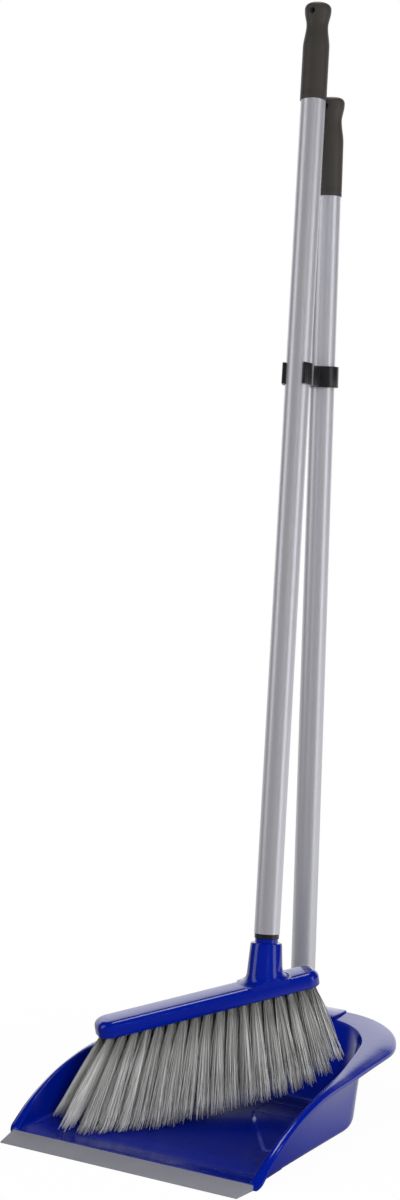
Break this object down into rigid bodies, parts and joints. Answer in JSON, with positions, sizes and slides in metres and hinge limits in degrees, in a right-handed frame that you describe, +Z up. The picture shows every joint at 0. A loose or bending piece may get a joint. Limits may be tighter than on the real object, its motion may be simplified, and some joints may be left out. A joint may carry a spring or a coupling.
{
  "type": "dust pan and brush set",
  "caption": "Long-handled dust pan with a soft lip and hooded rim, and an angled floor brush parked upright in a clip on the pan's handle.",
  "frame": {"origin": "centre of the pan's flat base, on the surface that it stands on", "axes": "+Z up along the handles, -Y out over the pan's lip, X across the pan"},
  "size_m": [0.2366, 0.3368, 0.9547],
  "materials": {
    "pan_plastic": "glossy moulded plastic",
    "lip_rubber": "matt soft rubber",
    "tube_steel": "satin silver lacquer on rolled steel",
    "ferrule_plastic": "matt moulded plastic",
    "grip_plastic": "matt moulded plastic",
    "clip_plastic": "satin moulded plastic",
    "bristle_fibre": "flagged synthetic bristle",
    "staple_wire": "drawn wire"
  },
  "bodies": {
    "pan": {"pan_body": "pan_plastic", "pan_floor": "pan_plastic", "lip_strip": "lip_rubber", "pan_tube": "tube_steel", "pan_ferrule": "ferrule_plastic", "pan_grip": "grip_plastic"},
    "clip": {"holder_clip": "clip_plastic"},
    "broom": {"broom_tube": "tube_steel", "broom_ferrule": "ferrule_plastic", "broom_grip": "grip_plastic", "brush_block": "pan_plastic", "tuft_row_1": "bristle_fibre", "tuft_row_2": "bristle_fibre", "tuft_row_3": "bristle_fibre", "tuft_row_4": "bristle_fibre", "tuft_staples": "staple_wire"}
  },
  "joints": [
    {"name": "clip_swivel", "type": "hinge", "parent": "pan", "child": "clip", "pos_m": [0, 0.20318, 0.62875], "axis": [0, 0.0122, 0.9999], "range_deg": [-1, 6]},
    {"name": "broom_lift", "type": "slide", "parent": "clip", "child": "broom", "axis": [-0.0385, 0.1357, 0.99], "range_m": [0, 0.25]}
  ]
}
